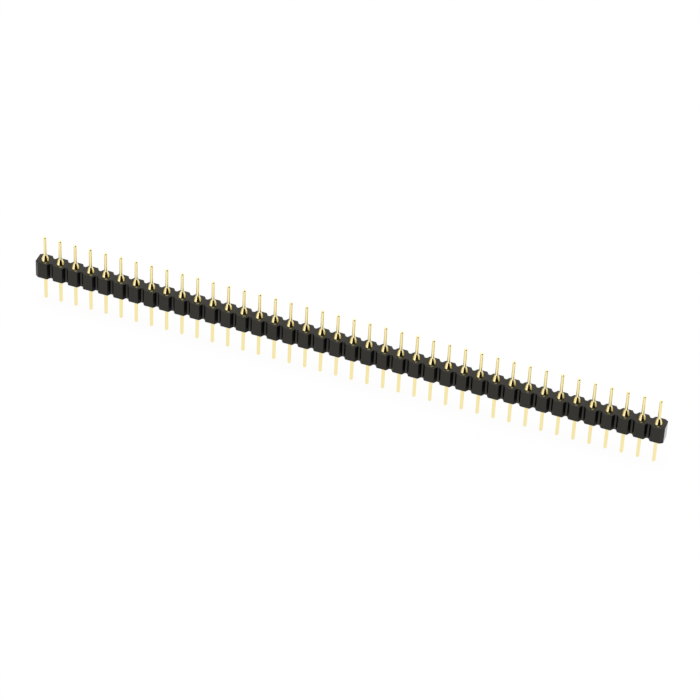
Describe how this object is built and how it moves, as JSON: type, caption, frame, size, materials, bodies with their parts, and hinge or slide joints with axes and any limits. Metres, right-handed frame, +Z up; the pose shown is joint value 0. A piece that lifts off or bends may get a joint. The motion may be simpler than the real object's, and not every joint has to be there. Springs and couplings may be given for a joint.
{
  "type": "round pin header strip",
  "caption": "Straight single-row strip of round turned contact pins pressed through a black moulded insulator, with posts above and solder tails below.",
  "frame": {"origin": "centre of the insulator's underside, the face that sits on the board, midway along the row", "axes": "+X along the row from the first pin to the last, +Z up the posts and away from the board, +Y across the row"},
  "size_m": [0.1016, 0.0024, 0.0122],
  "materials": {
    "insulator": "black glass-filled thermoplastic as moulded, with a slight sheen",
    "pins": "turned brass with thin bright gold plating"
  },
  "bodies": {
    "root": {"insulator": "insulator", "pin_01": "pins", "pin_02": "pins", "pin_03": "pins", "pin_04": "pins", "pin_05": "pins", "pin_06": "pins", "pin_07": "pins", "pin_08": "pins", "pin_09": "pins", "pin_10": "pins", "pin_11": "pins", "pin_12": "pins", "pin_13": "pins", "pin_14": "pins", "pin_15": "pins", "pin_16": "pins", "pin_17": "pins", "pin_18": "pins", "pin_19": "pins", "pin_20": "pins", "pin_21": "pins", "pin_22": "pins", "pin_23": "pins", "pin_24": "pins", "pin_25": "pins", "pin_26": "pins", "pin_27": "pins", "pin_28": "pins", "pin_29": "pins", "pin_30": "pins", "pin_31": "pins", "pin_32": "pins", "pin_33": "pins", "pin_34": "pins", "pin_35": "pins", "pin_36": "pins", "pin_37": "pins", "pin_38": "pins", "pin_39": "pins", "pin_40": "pins"}
  },
  "joints": []
}
